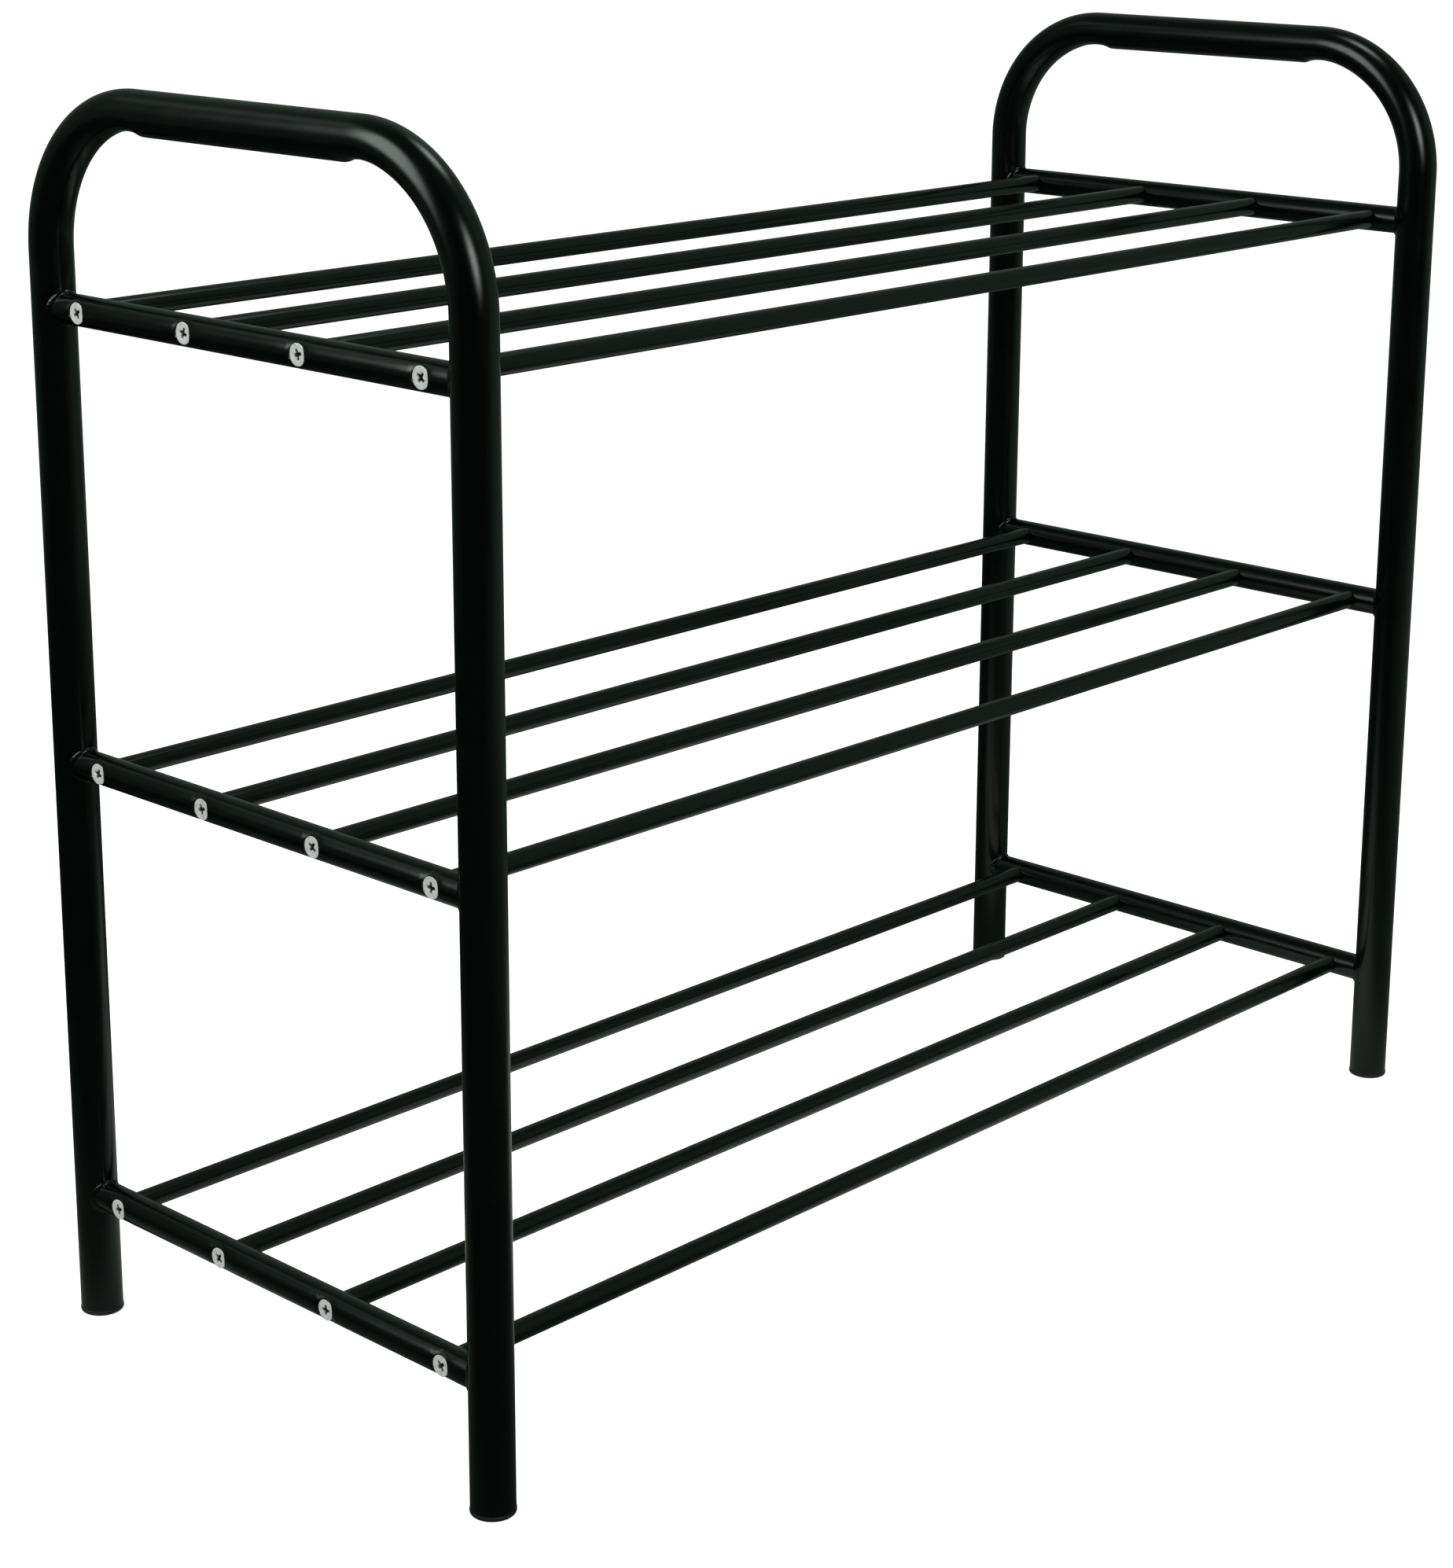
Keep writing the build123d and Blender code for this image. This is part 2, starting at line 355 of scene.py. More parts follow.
def dent_depth(distance):
    """Depth of the bend's inner dent, by distance from its start on the handle run."""
    places, depths = zip(*DENT_ALONG)
    return float(np.interp(distance, places, depths))


def hoop_stations():
    """Places along the hoop's centre line from the front foot to the middle of the handle run.

    Each has its y and z, the direction of the tube's inner wall, and the distance past the
    dent's start, which is on the handle run.
    """
    bend_end = DENT_LEAD + BEND_RADIUS * math.pi / 2
    leg = np.linspace(PLUG_FLANGE, BEND_Z - DENT_FADE, LEG_ROWS)
    close = BEND_Z - np.arange(DENT_FADE - 1, 0, -1)
    half = [(-LEG_Y, z, 0.0, bend_end + BEND_Z - z) for z in (*leg, *close)]
    for turn in np.linspace(0, math.pi / 2, BEND_ROWS):
        y = -BEND_Y - BEND_RADIUS * math.cos(turn)
        z = BEND_Z + BEND_RADIUS * math.sin(turn)
        half.append((y, z, turn, bend_end - BEND_RADIUS * turn))
    lead = np.linspace(0, DENT_LEAD, LEAD_ROWS)[1:] - BEND_Y
    run = np.linspace(DENT_LEAD - BEND_Y, 0, RUN_ROWS)[1:]
    return half + [(y, TOP_Z, math.pi / 2, DENT_LEAD - BEND_Y - y) for y in (*lead, *run)]


def hoop_rings(side, radius):
    """Rings of points along one skin of a hoop, from the front foot to the back foot."""
    x0 = SIDES[side] * HOOP_X
    angles = ring_angles(HOOP_RING)
    inner_side = np.clip(np.cos(angles), 0, 1)
    half = hoop_stations()
    stations = [(place, 1) for place in half] + [(place, -1) for place in reversed(half[:-1])]
    rings = []
    for (y, z, turn, past), flip in stations:
        reach = radius - dent_depth(past) * inner_side**2
        across, inward = reach * np.sin(angles), reach * np.cos(angles)
        ys = (y + inward * math.cos(turn)) * flip
        zs = z - inward * math.sin(turn)
        rings.append(list(zip(x0 + across, ys, zs)))
    return rings


def build_hoop(side):
    """One end hoop: a bent tube with a dent inside each bend."""
    rings = hoop_rings(side, LEG_RADIUS) + hoop_rings(side, LEG_RADIUS - LEG_WALL)[::-1]
    verts = [point for ring in rings for point in ring]
    faces = tube_faces(len(rings), HOOP_RING)
    new_piece(f"{side}_hoop_tube", verts, faces, FRAME_PAINT, f"{side}_end_hoop", 50)


# ---- rails ----
RAIL_RING = 48
END_ROWS = 4  # grid rows that take up a coped end
END_LENGTH = 4.0  # along the rail, from the leg's nearest line to the first plain row
ROW_PITCH = 7.0
PATCH_ROWS = 16  # grid cells along the rail, and round it, that one screw seat takes
PATCH_HALF = 7.0
FACINGS = {"seat": 0, "hole": RAIL_RING // 2}  # the patches' middle columns: outside, and inside
SEAT_WALL = 1.2
SEAT_STEEPNESS = 5.0  # of the pressed wall between the seat and the rail's surface
SEAT_BLEND = 0.35
SEAT_CIRCLES = [5.7, 5.4, 5.2, 5.05, 4.95, 4.87, 4.8, 4.72, 4.62, 4.4, 4.0, 3.4, 2.9, 2.7]
HOLE_CIRCLES = [5.2, 4.0, 3.2, 2.85, 2.7]
DIMPLE_DEPTH = 0.25
DIMPLE_WIDTH = 1.6


def smooth_min(a, b, softness):
    """The smaller of a and b, with the crease between them rounded."""
    mix = np.clip(0.5 + 0.5 * (b - a) / softness, 0, 1)
    return b * (1 - mix) + a * mix - softness * mix * (1 - mix)


def seat_surface(radius, across, along, seated, lowered):
    """Distance of a rail's skin from its axis plane, beside a screw, with its pressed seat."""
    plain = np.sqrt(np.maximum(radius**2 - across**2, 0))
    if not seated:
        return plain
    out = np.hypot(across, along)
    cone = SEAT_MOUTH - (SEAT_RADIUS - out)
    wall = SEAT_MOUTH + SEAT_STEEPNESS * (out - SEAT_RADIUS)
    seat = np.where(out < SEAT_RADIUS, cone, wall) - lowered
    dimple = DIMPLE_DEPTH * np.exp(-(((out - SEAT_RADIUS) / DIMPLE_WIDTH) ** 2))
    return smooth_min(plain - dimple * (out > SEAT_RADIUS), seat, SEAT_BLEND)


def rail_rows():
    """Rows of a rail's grid along y, and the first row of each screw's patch."""
    edge = LEG_Y - LEG_RADIUS - END_LENGTH
    rows, firsts = [], []

    def fill(start, stop):
        steps = max(1, round((stop - start) / ROW_PITCH))
        rows.extend(start + (stop - start) * i / steps for i in range(steps))

    place = -edge
    for bar_y in BAR_YS.values():
        start = bar_y - PATCH_HALF
        fill(place, start)
        firsts.append(len(rows))
        rows.extend(start + 2 * PATCH_HALF * i / PATCH_ROWS for i in range(PATCH_ROWS))
        place = bar_y + PATCH_HALF
    fill(place, edge)
    return rows + [edge], firsts


def rail_grid(radius, rows):
    """Rings of points along one skin of a rail, from one coped end to the other."""
    angles = ring_angles(RAIL_RING)
    xs, zs = radius * np.cos(angles), radius * np.sin(angles)
    cope = LEG_Y - np.sqrt(LEG_RADIUS**2 - xs**2)
    shares = [step / END_ROWS for step in range(END_ROWS + 1)]
    ys = [rows[0] * t - cope * (1 - t) for t in shares[:-1]]
    ys += [np.full(RAIL_RING, row) for row in rows]
    ys += [rows[-1] * (1 - t) + cope * t for t in shares[1:]]
    return [list(zip(xs, y, zs)) for y in ys]


class RailSkin:
    """One skin of a rail: a grid of quads, with a round patch wherever a screw goes through."""

    def __init__(self, verts, faces, radius, lowered):
        self.verts, self.faces, self.radius, self.lowered = verts, faces, radius, lowered
        rows, firsts = rail_rows()
        self.grid = rail_grid(radius, rows)
        self.used = {}
        patches = [(first + END_ROWS, bar_y) for first, bar_y in zip(firsts, BAR_YS.values())]
        self.add_cells([row for row, _ in patches])
        self.holes = [
            self.add_patch(row, bar_y, facing) for row, bar_y in patches for facing in FACINGS
        ]
        last = len(self.grid) - 1
        self.ends = [[self.index(i, k) for k in range(RAIL_RING)] for i in (0, last)]

    def index(self, i, k):
        """The number of a grid point, which is added to verts on its first use."""
        k %= RAIL_RING
        if (i, k) not in self.used:
            self.used[(i, k)] = len(self.verts)
            self.verts.append(self.grid[i][k])
        return self.used[(i, k)]

    def add_cells(self, patch_rows):
        """Adds the grid's quads, apart from those that the patches take."""
        half = PATCH_ROWS // 2
        cut = {
            (row + i, (middle + k) % RAIL_RING)
            for row in patch_rows
            for i in range(PATCH_ROWS)
            for middle in FACINGS.values()
            for k in range(-half, half)
        }
        for i in range(len(self.grid) - 1):
            for k in range(RAIL_RING):
                if (i, k) not in cut:
                    corners = ((i, k), (i, k + 1), (i + 1, k + 1), (i + 1, k))
                    self.faces.append(tuple(self.index(*corner) for corner in corners))

    def add_patch(self, row, bar_y, facing):
        """Adds rings of quads from a square rim down to a screw's hole, and returns its edge."""
        k0 = FACINGS[facing] - PATCH_ROWS // 2
        k1, end_row = k0 + PATCH_ROWS, row + PATCH_ROWS
        loop = [(row, k) for k in range(k0, k1)]
        loop += [(i, k1) for i in range(row, end_row)]
        loop += [(end_row, k) for k in range(k1, k0, -1)]
        loop += [(i, k0) for i in range(end_row, row, -1)]
        previous = [self.index(i, k) for i, k in loop]
        outline = np.array([self.verts[v] for v in previous])
        along, across = outline[:, 1] - bar_y, outline[:, 2]
        turn = np.arctan2(across, along)
        seated = facing == "seat"
        circles = SEAT_CIRCLES if seated else HOLE_CIRCLES
        rings = [
            (
                along * (1 - t) + circles[0] * np.cos(turn) * t,
                across * (1 - t) + circles[0] * np.sin(turn) * t,
            )
            for t in ((0.5,) if seated else (0.35, 0.7))
        ]
        rings += [(c * np.cos(turn), c * np.sin(turn)) for c in circles]
        outwards = 1 if seated else -1
        for u, w in rings:
            heights = outwards * seat_surface(self.radius, w, u, seated, self.lowered)
            start = len(self.verts)
            self.verts += list(zip(heights, bar_y + u, w))
            current = list(range(start, start + len(loop)))
            bridge(self.faces, previous, current)
            previous = current
        return previous


def build_rail(side, tier):
    """One cross rail: a hollow tube coped to the legs, with pressed screw seats."""
    sign, z0 = SIDES[side], TIERS[tier]
    verts, faces = [], []
    outer = RailSkin(verts, faces, RAIL_RADIUS, 0.0)
    inner = RailSkin(verts, faces, RAIL_RADIUS - RAIL_WALL, SEAT_WALL)
    for a, b in zip(outer.holes + outer.ends, inner.holes + inner.ends):
        bridge(faces, a, b)
    placed = [(sign * (HOOP_X + x), y, z0 + z) for x, y, z in verts]
    name = f"{side}_{tier}_rail"
    new_piece(f"{name}_tube", placed, faces, FRAME_PAINT, name, 45)


# ---- welds ----
WELD_STEPS = 160  # sections round a bead
WELD_POINTS = 11  # across its face
WELD_RIPPLES = 27
WELD_LUMPS = 5  # slow waves in its width
WELD_ROOT = 0.4  # how far a bead goes into the joint
WELD_SINK = 0.3  # how far its toes go into the tubes


def weld_section(a, size, bulge):
    """Points round a bead's section at angle a of the rail, at the leg on the +Y side."""
    c, s = math.cos(a), math.sin(a)
    out_radius = RAIL_RADIUS + size
    seam_y = LEG_Y - math.sqrt(LEG_RADIUS**2 - (RAIL_RADIUS * c) ** 2)
    leg_y = LEG_Y - math.sqrt(LEG_RADIUS**2 - (out_radius * c) ** 2)
    rail_toe = np.array([RAIL_RADIUS * c, seam_y - size, RAIL_RADIUS * s])
    leg_toe = np.array([out_radius * c, leg_y, out_radius * s])
    root = np.array([(RAIL_RADIUS - 0.5) * c, seam_y + WELD_ROOT, (RAIL_RADIUS - 0.5) * s])
    outward = np.array([c, -1.0, s]) / math.sqrt(2)
    section = [root, rail_toe - np.array([WELD_SINK * c, 0.0, WELD_SINK * s])]
    for t in np.linspace(0, 1, WELD_POINTS):
        section.append(rail_toe * (1 - t) + leg_toe * t + outward * bulge * 4 * t * (1 - t) * 0.9)
    return section + [leg_toe + np.array([0.0, WELD_SINK, 0.0])]


def build_welds(side, tier, rng):
    """Two fillet welds with the ripples of their puddles, where a rail meets its legs."""
    sign, z0 = SIDES[side], TIERS[tier]
    verts, faces = [], []
    for end in ENDS.values():
        phase = rng.random() * 6.28
        lumps = [(rng.uniform(-1, 1), rng.uniform(0, 6.28)) for _ in range(WELD_LUMPS)]
        start = len(verts)
        for a in ring_angles(WELD_STEPS):
            lump = sum(g * math.sin((h + 2) * a + p) for h, (g, p) in enumerate(lumps)) / WELD_LUMPS
            ripple = abs(math.sin((WELD_RIPPLES * a + phase + 0.5 * math.sin(3 * a)) / 2))
            size = WELD_SIZE * (0.93 + 0.10 * lump)
            section = weld_section(a, size, 0.16 + 0.10 * ripple + 0.05 * lump)
            verts += [(sign * (HOOP_X + x), end * y, z0 + z) for x, y, z in section]
        faces += [tuple(start + v for v in f) for f in tube_faces(WELD_STEPS, len(section))]
    name = f"{side}_{tier}_weld"
    new_piece(f"{name}_beads", verts, faces, WELD_PAINT, f"{name}s", 60)


# ---- bars ----
BAR_RING = 40
BAR_ROWS = 15


def build_bar(tier, number):
    """One shelf bar: a thin tube whose ends are shaped to the rails."""
    y0, z0 = BAR_YS[number], TIERS[tier]
    verts = []
    places = np.linspace(-1, 1, BAR_ROWS)
    for radius, order in ((BAR_RADIUS, places), (BAR_RADIUS - BAR_WALL, places[::-1])):
        for t in order:
            for a in ring_angles(BAR_RING):
                z = radius * math.sin(a)
                reach = HOOP_X - math.sqrt(RAIL_RADIUS**2 - z**2)
                verts.append((t * reach, y0 + radius * math.cos(a), z0 + z))
    name = f"{tier}_bar_{number}"
    faces = tube_faces(2 * BAR_ROWS, BAR_RING)
    new_piece(f"{name}_tube", verts, faces, BAR_PAINT, name, 50)


# ---- screws ----
SCREW_RING = 72
SCREW_LENGTH = 25.0
HEAD_RADIUS = 4.6
HEAD_LAND = 0.3  # height of the head's straight rim
SHANK_RADIUS = 2.45
THREAD_LENGTH = 20.0
THREAD_PITCH = 0.8
THREAD_DEPTH = 0.42
THREAD_STEPS = 6  # rings in each turn of the thread
THREAD_LEAD = 0.4  # plain length at the tip
RECESS_STEPS = 9
RECESS_DEPTH = 2.3
RECESS_MOUTH = 0.14  # depth of the rounded mouth above the cross
CROSS_SPAN = 2.4  # half of the cross at its mouth, then how much it narrows to its floor
CROSS_SPAN_TAPER = 1.2
CROSS_WIDTH = 0.72
CROSS_WIDTH_TAPER = 0.22
CROSS_CORE = 1.3
CROSS_CORE_TAPER = 0.45
CROSS_TURN = 37.0  # each screw stopped at another angle


def cross_outline(angles, turn, span, width, core):
    """Distances from the middle to the edge of a rounded cross."""
    a = angles - turn
    c, s = np.abs(np.cos(a)) + 1e-9, np.abs(np.sin(a)) + 1e-9
    flat = np.maximum(np.minimum(span / c, width / s), np.minimum(span / s, width / c))
    return np.maximum(flat, core)


def thread_rings(angles):
    """Rings of the threaded length, whose valleys follow a helix and run out at both ends."""
    tip, top = -SCREW_LENGTH, THREAD_LENGTH - SCREW_LENGTH
    count = THREAD_STEPS * THREAD_LENGTH / THREAD_PITCH
    rings = []
    for i in range(int(count) + 1):
        z = tip + THREAD_LEAD + i * (THREAD_LENGTH - THREAD_LEAD) / count
        phase = (z / THREAD_PITCH - angles / (2 * math.pi)) % 1.0
        fade = min(1.0, (z - tip) / (2 * THREAD_PITCH), (top - z) / THREAD_PITCH + 0.05)
        valley = THREAD_DEPTH * np.abs(2 * phase - 1) * fade
        point = max(0.0, 0.5 - (z - tip) / 2)
        rings.append((z, SHANK_RADIUS - valley - point))
    return rings


def screw_rings(angles, turn):
    """Rings of one screw, from its tip round the head's rim and down into the cross recess."""
    even = np.ones(SCREW_RING)
    head_depth = HEAD_LAND + HEAD_RADIUS - SHANK_RADIUS
    profile = [
        (THREAD_LENGTH - SCREW_LENGTH + 0.3, SHANK_RADIUS),
        (-head_depth - 0.15, SHANK_RADIUS),
        (-head_depth + 0.1, SHANK_RADIUS + 0.12),
        (-HEAD_LAND - 0.05, HEAD_RADIUS - 0.06),
        (-HEAD_LAND, HEAD_RADIUS),
        (-0.14, HEAD_RADIUS),
        (-0.05, HEAD_RADIUS - 0.05),
        (0.0, HEAD_RADIUS - 0.18),
        (0.0, HEAD_RADIUS - 0.6),
        (-0.03, HEAD_RADIUS - 1.1),
    ]
    rings = [(-SCREW_LENGTH, 0.6 * SHANK_RADIUS * even)] + thread_rings(angles)
    rings += [(z, radius * even) for z, radius in profile]
    mouth = cross_outline(angles, turn, CROSS_SPAN + 0.05, CROSS_WIDTH + 0.03, CROSS_CORE + 0.05)
    rings.append((-RECESS_MOUTH + 0.09, 0.45 * (HEAD_RADIUS - 1.1) + 0.55 * mouth + 0.15))
    rings.append((-RECESS_MOUTH / 2, mouth + 0.12))
    for t in np.linspace(0, 1, RECESS_STEPS + 1):
        narrow = cross_outline(
            angles,
            turn,
            CROSS_SPAN - CROSS_SPAN_TAPER * t,
            CROSS_WIDTH - CROSS_WIDTH_TAPER * t,
            CROSS_CORE - CROSS_CORE_TAPER * t,
        )
        rings.append((-RECESS_MOUTH - RECESS_DEPTH * t, narrow))
    rings.append((-RECESS_MOUTH - RECESS_DEPTH - 0.35, 0.4 * narrow))
    return rings


def build_screws(side, tier):
    """The four countersunk cross-recess screws of one rail."""
    sign, z0 = SIDES[side], TIERS[tier]
    first_turn = CROSS_TURN * (list(TIERS).index(tier) + sign)
    angles = ring_angles(SCREW_RING)
    verts, faces = [], []
    for number, bar_y in BAR_YS.items():
        rings = screw_rings(angles, math.radians(first_turn + CROSS_TURN * (number - 1)))
        faces += capped_tube_faces(len(rings), SCREW_RING, len(verts))
        for depth, reach in rings:
            x = np.full(SCREW_RING, sign * (HOOP_X + HEAD_FACE + depth))
            verts += zip(x, bar_y + reach * np.cos(angles), z0 + reach * np.sin(angles))
    name = f"{side}_{tier}_screw"
    new_piece(f"{name}_set", verts, faces, ZINC, f"{name}s", 35)


# ---- foot plugs ----
PLUG_RING = 72
SOLE_DIMPLE = 0.25  # depth of the moulding mark under the foot
DIMPLE_RADIUS = 3.2
PLUG_EDGE = 0.3  # rounding of the flange's top and of the corners in the stem
BARB_CLEARANCE = 0.02


def plug_outline():
    """Radius and height round a plug's skin, from its sole over the flange and barbs to its bore."""
    outline = [(DIMPLE_RADIUS, SOLE_DIMPLE), (DIMPLE_RADIUS + PLUG_EDGE, 0.0)]
    for turn in np.linspace(0, math.pi / 2, 7):
        radius = PLUG_RADIUS - PLUG_ROUND * (1 - math.sin(turn))
        outline.append((radius, PLUG_ROUND * (1 - math.cos(turn))))
    corner = 0.3 * PLUG_EDGE  # inset of the rounding's middle point
    outline += [(PLUG_RADIUS, PLUG_FLANGE - PLUG_EDGE), (PLUG_RADIUS - corner, PLUG_FLANGE - corner)]
    outline += [(PLUG_RADIUS - PLUG_EDGE, PLUG_FLANGE), (PLUG_STEM_RADIUS, PLUG_FLANGE)]
    barb_radius = LEG_RADIUS - LEG_WALL - BARB_CLEARANCE
    for barb in range(PLUG_BARBS):
        foot = PLUG_FLANGE + PLUG_BARB_LENGTH * (barb + 0.5)
        outline += [(PLUG_STEM_RADIUS, foot), (barb_radius, foot + 0.06)]
    tip = PLUG_FLANGE + PLUG_STEM_LENGTH
    outline += [(PLUG_STEM_RADIUS, tip - 0.25), (PLUG_STEM_RADIUS - 0.2, tip)]
    bore = PLUG_STEM_RADIUS - PLUG_WALL
    outline += [(bore, tip), (bore, PLUG_FLANGE + PLUG_EDGE), (bore - PLUG_EDGE, PLUG_FLANGE)]
    return outline + [(2.0, PLUG_FLANGE)]


def build_plug(side, end):
    """A barbed foot plug with a rounded, flat-soled flange."""
    x0, y0 = SIDES[side] * HOOP_X, ENDS[end] * LEG_Y
    angles = ring_angles(PLUG_RING)
    outline = plug_outline()
    verts = []
    for radius, height in outline:
        verts += [(x0 + radius * math.cos(a), y0 + radius * math.sin(a), height) for a in angles]
    name = f"foot_plug_{side}_{end}"
    faces = capped_tube_faces(len(outline), PLUG_RING)
    new_piece(f"{name}_moulding", verts, faces, PLASTIC, name, 45)


# ---- all pieces ----
rng = random.Random(7)
for side in SIDES:
    build_hoop(side)
    for tier in TIERS:
        build_rail(side, tier)
        build_welds(side, tier, rng)
        build_screws(side, tier)
for tier in TIERS:
    for number in BAR_YS:
        build_bar(tier, number)
for side in SIDES:
    for end in ENDS:
        build_plug(side, end)
    for tier in TIERS:
        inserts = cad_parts[f"{side}_{tier}_inserts"]
        inserts.data.materials.clear()
        inserts.data.materials.append(STEEL)


# ---- floor, light and camera ----
FLOOR_GLOW = 0.60
ROOM_LIGHT = 0.6
NEAR_BEND = (-0.3225, -0.11, 0.54)  # the bend nearest the camera, which all the boxes face
BOX_TINT = np.array((0.90, 1.0, 0.94))
WALL_TINT = np.array((0.72, 1.0, 0.79))
WALLS = [  # azimuth, and how bright the room is there in the paint's reflections
    (-90, 0.015),
    (-47, 0.010),
    (0, 0.016),
    (25, 0.09),
    (45, 0.20),
    (60, 0.18),
    (98, 0.16),
    (121, 0.24),
    (150, 0.16),
    (190, 0.08),
    (222, 0.07),
    (245, 0.02),
    (270, 0.015),
]
SHEET_NEAR = [  # distance from the sheet's middle, and its colour there
    (0.08, (0.38, 0.42, 0.38)),
    (0.14, (0.25, 0.28, 0.25)),
    (0.20, (0.05, 0.065, 0.05)),
    (0.34, (0, 0, 0)),
]
SHEET_FAR = [  # share of the way across the sheet to the front right, and what it adds there
    (0.10, (0.014, 0.020, 0.016)),
    (0.42, (0.03, 0.04, 0.032)),
    (0.66, (0.085, 0.12, 0.09)),
    (0.85, (0.15, 0.20, 0.16)),
]


def direction(azimuth, elevation):
    """The way from the rack to a place at an azimuth and elevation; 0, 0 is straight in front."""
    a, e = math.radians(azimuth), math.radians(elevation)
    return Vector((math.sin(a) * math.cos(e), -math.cos(a) * math.cos(e), math.sin(e)))


def flat_grid(name, size, cells, height):
    """A square mesh lying level, for a piece of the studio."""
    across = cells + 1
    verts = [
        (size * (i / cells - 0.5), size * (j / cells - 0.5), height)
        for i in range(across)
        for j in range(across)
    ]
    corners = [(i, j) for i in range(cells) for j in range(cells)]
    faces = [
        (i * across + j, (i + 1) * across + j, (i + 1) * across + j + 1, i * across + j + 1)
        for i, j in corners
    ]
    mesh = bpy.data.meshes.new(name)
    mesh.from_pydata(verts, [], faces)
    piece = bpy.data.objects.new(name, mesh)
    bpy.context.scene.collection.objects.link(piece)
    return piece


def make_floor():
    """A wide pale floor, lit from within so that it stays as white as a studio sweep."""
    floor = flat_grid("studio_floor", 30.0, 24, 0.0)
    material = bpy.data.materials.new("pale_floor")
    n = Nodes(material)
    tone = n.noise(n.object_coords(), 1.5, detail=2.0)
    sheen = n.add(
        "ShaderNodeBsdfDiffuse",
        {"Color": n.ramp(tone, [(0.3, (0.93, 0.93, 0.93)), (0.7, (0.95, 0.95, 0.95))])},
    )
    glow = n.add("ShaderNodeEmission", {"Color": (1, 1, 1, 1), "Strength": FLOOR_GLOW})
    both = n.add("ShaderNodeAddShader", {0: sheen.outputs[0], 1: glow.outputs[0]})
    n.surface(both)
    floor.data.materials.append(material)
    floor.visible_glossy = False
    floor.visible_diffuse = False


def make_sheet():
    """What the glossy paint mirrors of the floor: brightest under the rack, and to the front right."""
    sheet = flat_grid("mirrored_sheet", 3.0, 12, -0.002)
    material = bpy.data.materials.new("white_sheet")
    n = Nodes(material)
    turned = n.add(
        "ShaderNodeMapping",
        {"Vector": n.object_coords(), "Rotation": (0, 0, math.radians(28.6))},
    )
    squeezed = n.vector_math("MULTIPLY", turned.outputs["Vector"], (0.45, 1.0, 0.0))
    away = n.vector_math("LENGTH", squeezed.outputs["Vector"])
    near = n.ramp(away.outputs["Value"], SHEET_NEAR)
    to_right = n.vector_math("DOT_PRODUCT", n.object_coords(), (0.87, -0.5, 0.0))
    far = n.ramp(n.remap(to_right.outputs["Value"], -1.0, 1.5, 0.0, 1.0), SHEET_FAR)
    glow = n.vector_math("ADD", near, far).outputs["Vector"]
    n.surface(n.add("ShaderNodeEmission", {"Color": glow, "Strength": 1.0}))
    sheet.data.materials.append(material)
    sheet.visible_camera = False
    sheet.visible_diffuse = False
    sheet.visible_shadow = False


def make_world():
    """White behind the rack; in the paint's reflections dim all round, and brighter to the right."""
    world = bpy.data.worlds.new("studio")
    bpy.context.scene.world = world
    n = Nodes(world)
    towards = n.add("ShaderNodeTexCoord").outputs["Generated"]
    turn = n.add("ShaderNodeTexGradient", {"Vector": towards}, gradient_type="RADIAL")
    walls = n.ramp(
        turn.outputs["Fac"],
        [((azimuth + 90) / 360, tuple(WALL_TINT * level)) for azimuth, level in WALLS],
    )
    height = n.add("ShaderNodeSeparateXYZ", {"Vector": towards}).outputs["Z"]
    overhead = n.remap(height, 0.7, 0.95, 0.0, 1.0)
    room = n.mix(overhead, walls, (0.032, 0.045, 0.036))
    rays = n.add("ShaderNodeLightPath").outputs
    mirrored = n.add("ShaderNodeBackground", {"Color": room, "Strength": 1.0})
    behind = n.add("ShaderNodeBackground", {"Color": (1, 1, 1, 1), "Strength": 1.0})
    around = n.add("ShaderNodeBackground", {"Color": (1, 1, 1, 1), "Strength": ROOM_LIGHT})
    lit = n.add(
        "ShaderNodeMixShader",
        {0: rays["Is Glossy Ray"], 1: around.outputs[0], 2: mirrored.outputs[0]},
    )
    seen = n.add(
        "ShaderNodeMixShader",
        {0: rays["Is Camera Ray"], 1: lit.outputs[0], 2: behind.outputs[0]},
    )
    n.add("ShaderNodeOutputWorld", {"Surface": seen.outputs[0]})
    world.cycles.sampling_method = "NONE"


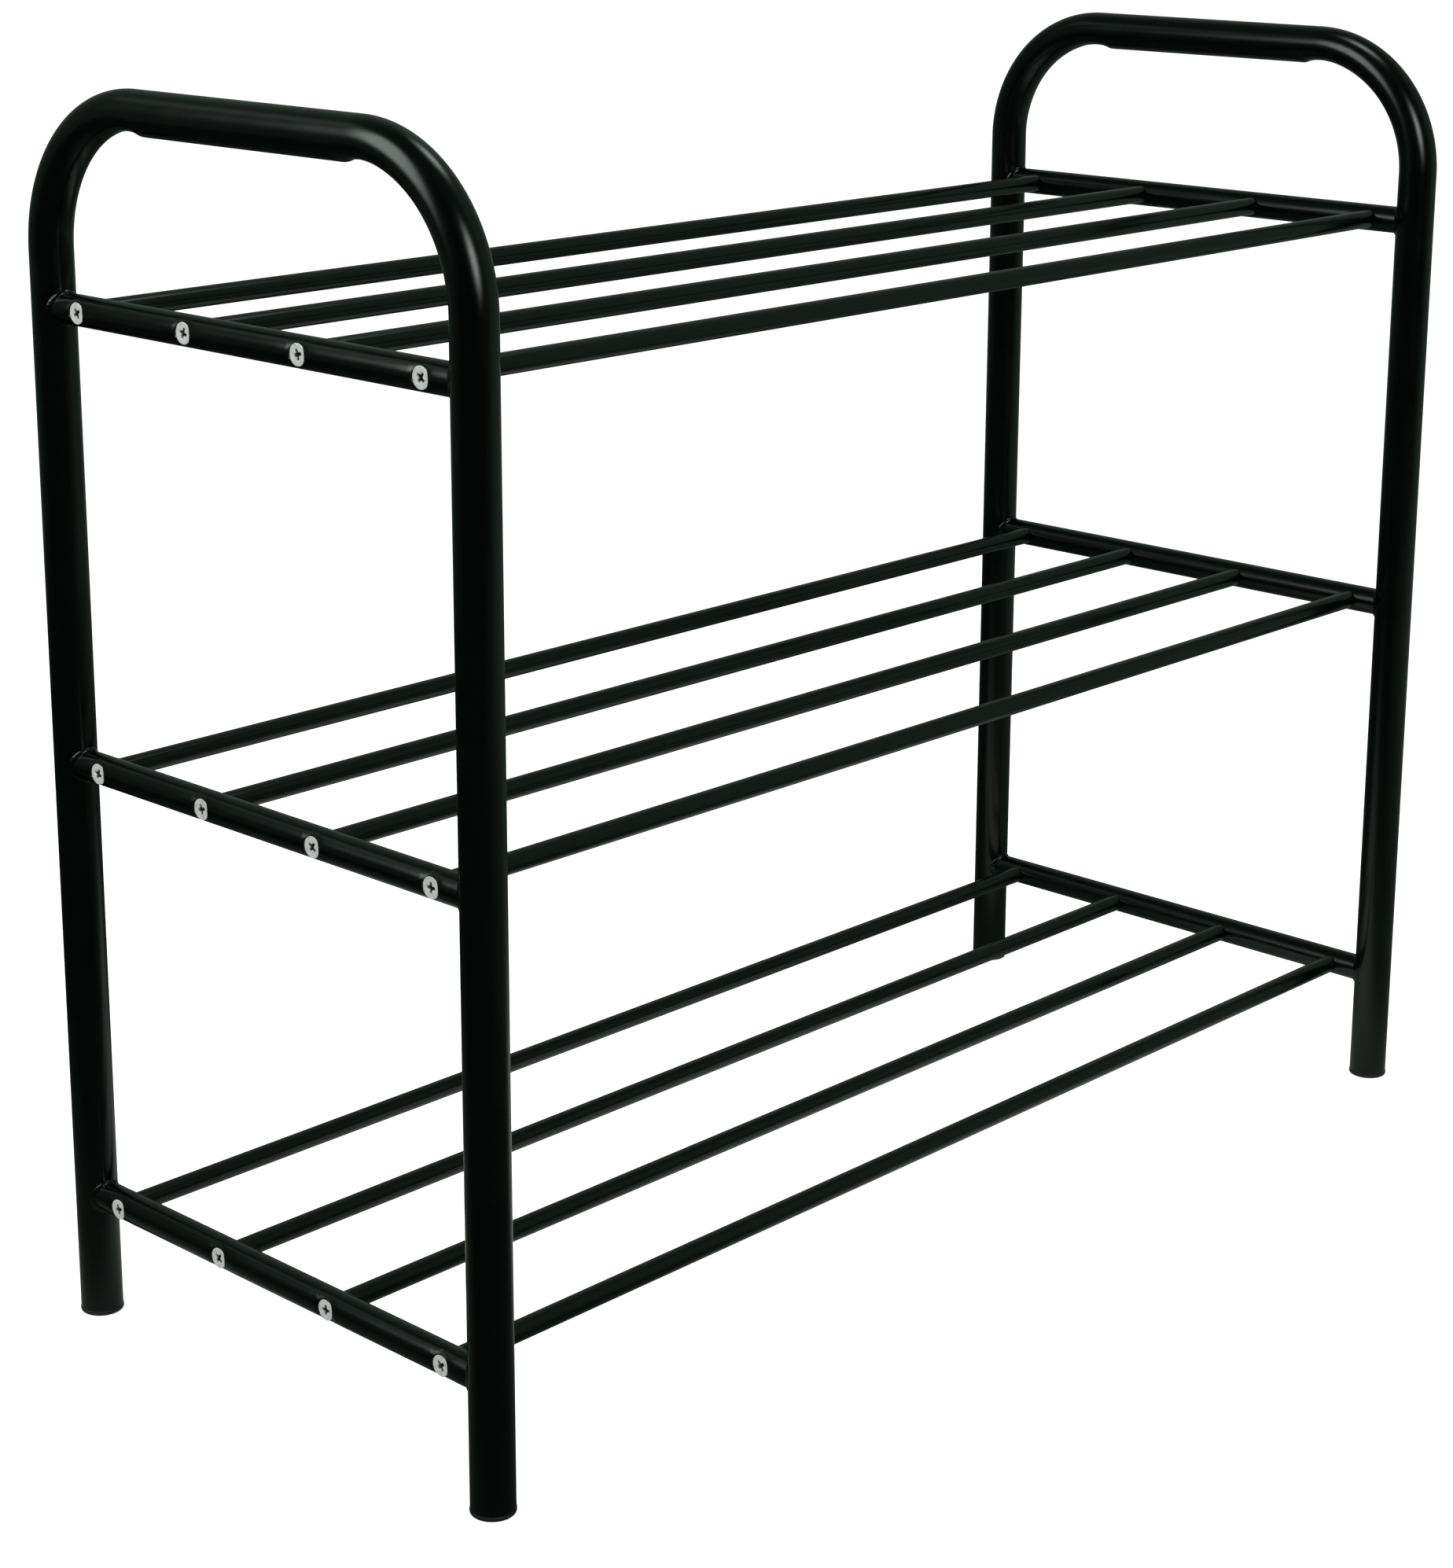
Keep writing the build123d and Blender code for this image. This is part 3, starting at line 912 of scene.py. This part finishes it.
def soft_box(name, azimuth, elevation, distance, width, height, core, radiance):
    """A soft box that faces the near bend, full bright within its core and fading to its edges."""
    box = flat_grid(name, 1.0, 8, 0.0)
    material = bpy.data.materials.new(name)
    n = Nodes(material)
    spread = n.vector_math("MULTIPLY", n.object_coords(), (2.0, 2.0, 0.0))
    away = n.vector_math("LENGTH", spread.outputs["Vector"])
    fade = ((core, 1.0), (core / 2 + 0.5, 0.3), (1.0, 0.0))
    glow = n.ramp(away.outputs["Value"], [(at, tuple(BOX_TINT * level)) for at, level in fade])
    lit = n.add("ShaderNodeEmission", {"Color": glow, "Strength": radiance})
    clear = n.add("ShaderNodeBsdfTransparent", {"Color": (1, 1, 1, 1)})
    both = n.add("ShaderNodeAddShader", {0: lit.outputs[0], 1: clear.outputs[0]})
    n.surface(both)
    box.data.materials.append(material)
    out = direction(azimuth, elevation)
    turned = out.to_track_quat("Z", "Y").to_matrix().to_4x4()
    size = Matrix.Diagonal((width, height, 1.0, 1.0))
    box.matrix_world = Matrix.Translation(Vector(NEAR_BEND) + out * distance) @ turned @ size
    box.visible_camera = False
    box.visible_shadow = False


def make_camera():
    """The photograph's view: from the front left and a little above."""
    back = direction(-46.65, 14.53)
    roll = math.radians(0.2)
    target, distance = Vector((-0.0468, 0.0, 0.2949)), 1.5331
    data = bpy.data.cameras.new("camera")
    data.sensor_width = 36.0
    data.lens = 75.069
    data.shift_y = -0.1
    data.clip_start, data.clip_end = 0.05, 60.0
    camera = bpy.data.objects.new("camera", data)
    bpy.context.scene.collection.objects.link(camera)
    turned = (-back).to_track_quat("-Z", "Y").to_matrix() @ Matrix.Rotation(roll, 3, "Z")
    camera.matrix_world = Matrix.Translation(target + back * distance) @ turned.to_4x4()
    bpy.context.scene.camera = camera


make_floor()
make_sheet()
make_world()
soft_box("front_box", -10, 24, distance=1.8, width=1.35, height=1.6, core=0.3, radiance=6.0)
soft_box("left_box", -124, 29, distance=1.25, width=1.0, height=1.35, core=0.55, radiance=3.9)
soft_box("high_box", 94, 62, distance=1.04, width=0.62, height=0.62, core=0.3, radiance=4.4)
soft_box("back_box", -160, 36, distance=2.4, width=1.5, height=0.9, core=0.3, radiance=0.3)
make_camera()
bpy.context.scene.view_settings.view_transform = "Standard"

bpy.context.view_layer.update()
